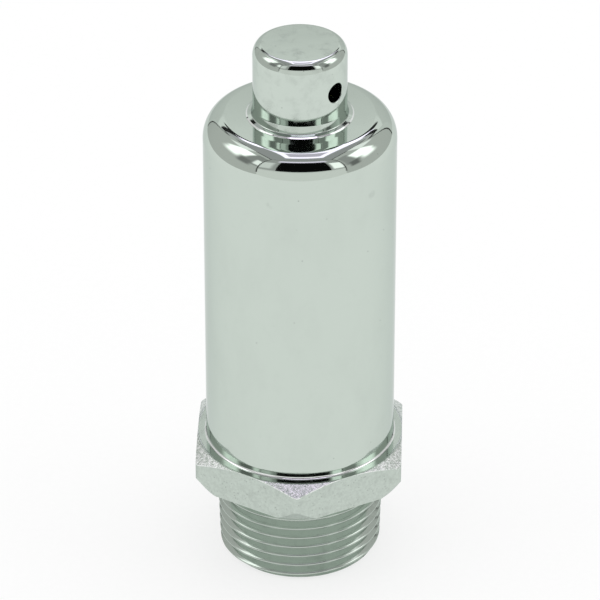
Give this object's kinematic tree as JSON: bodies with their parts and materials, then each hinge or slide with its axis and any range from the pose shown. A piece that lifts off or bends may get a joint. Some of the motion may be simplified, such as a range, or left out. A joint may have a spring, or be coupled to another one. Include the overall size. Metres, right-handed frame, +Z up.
{
  "type": "automatic air vent",
  "caption": "Upright air vent with a chromed cylindrical shell, a turned cap with a side outlet, a hexagon base and a tapered pipe thread, with an inner float and needle valve.",
  "frame": {"origin": "centre of the pipe thread's end face, on the vent's axis", "axes": "+Z up along the axis, from the thread to the cap; one corner of the hexagon points along -Y, turned 1.8 degrees towards -X; the outlet hole points 41 degrees from +X towards -Y"},
  "size_m": [0.0338, 0.0384, 0.0925],
  "materials": {
    "chrome_shell": "polished chrome plate on a drawn brass shell, faint smudges",
    "chrome_base": "chrome plate on a brass casting, finely pitted on the flats, plated thread",
    "chrome_cap": "turned and polished chrome plate",
    "brass": "turned brass",
    "float_brass": "thin drawn brass",
    "bronze": "thin phosphor bronze",
    "solder": "soft solder",
    "spring_steel": "blued spring steel",
    "stainless": "ground stainless steel",
    "fibre": "vulcanised fibre sealing washer"
  },
  "bodies": {
    "vent_body": {"base_nipple": "chrome_base", "body_shell": "chrome_shell", "shell_joint_ring": "solder", "float_support": "brass", "support_snap_ring": "spring_steel", "splash_baffle": "brass", "vent_cap": "chrome_cap", "cap_gasket": "fibre", "cap_lock_nut": "brass", "valve_seat": "brass", "seat_gasket": "fibre", "pin_guide": "brass"},
    "float": {"float_upper_shell": "float_brass", "float_lower_shell": "float_brass", "float_seam_band": "solder", "float_guide_ring": "float_brass", "fill_plug": "solder", "pin_boss": "brass", "valve_pin": "stainless", "pin_lock_nut": "brass", "diaphragm_disc": "bronze", "diaphragm_clamp_ring": "brass"},
    "button": {"diaphragm_button": "brass", "button_rivet": "brass"}
  },
  "joints": [
    {"name": "float_lift", "type": "slide", "parent": "vent_body", "child": "float", "axis": [0, 0, 1], "range_m": [0, 0.0025], "deforming": ["diaphragm_disc"]},
    {"name": "button_stroke", "type": "slide", "parent": "float", "child": "button", "axis": [0, 0, 1], "range_m": [-0.0025, 0]}
  ],
  "couplings": [
    {"joint": "button_stroke", "follows": "float_lift", "ratio": -1}
  ]
}
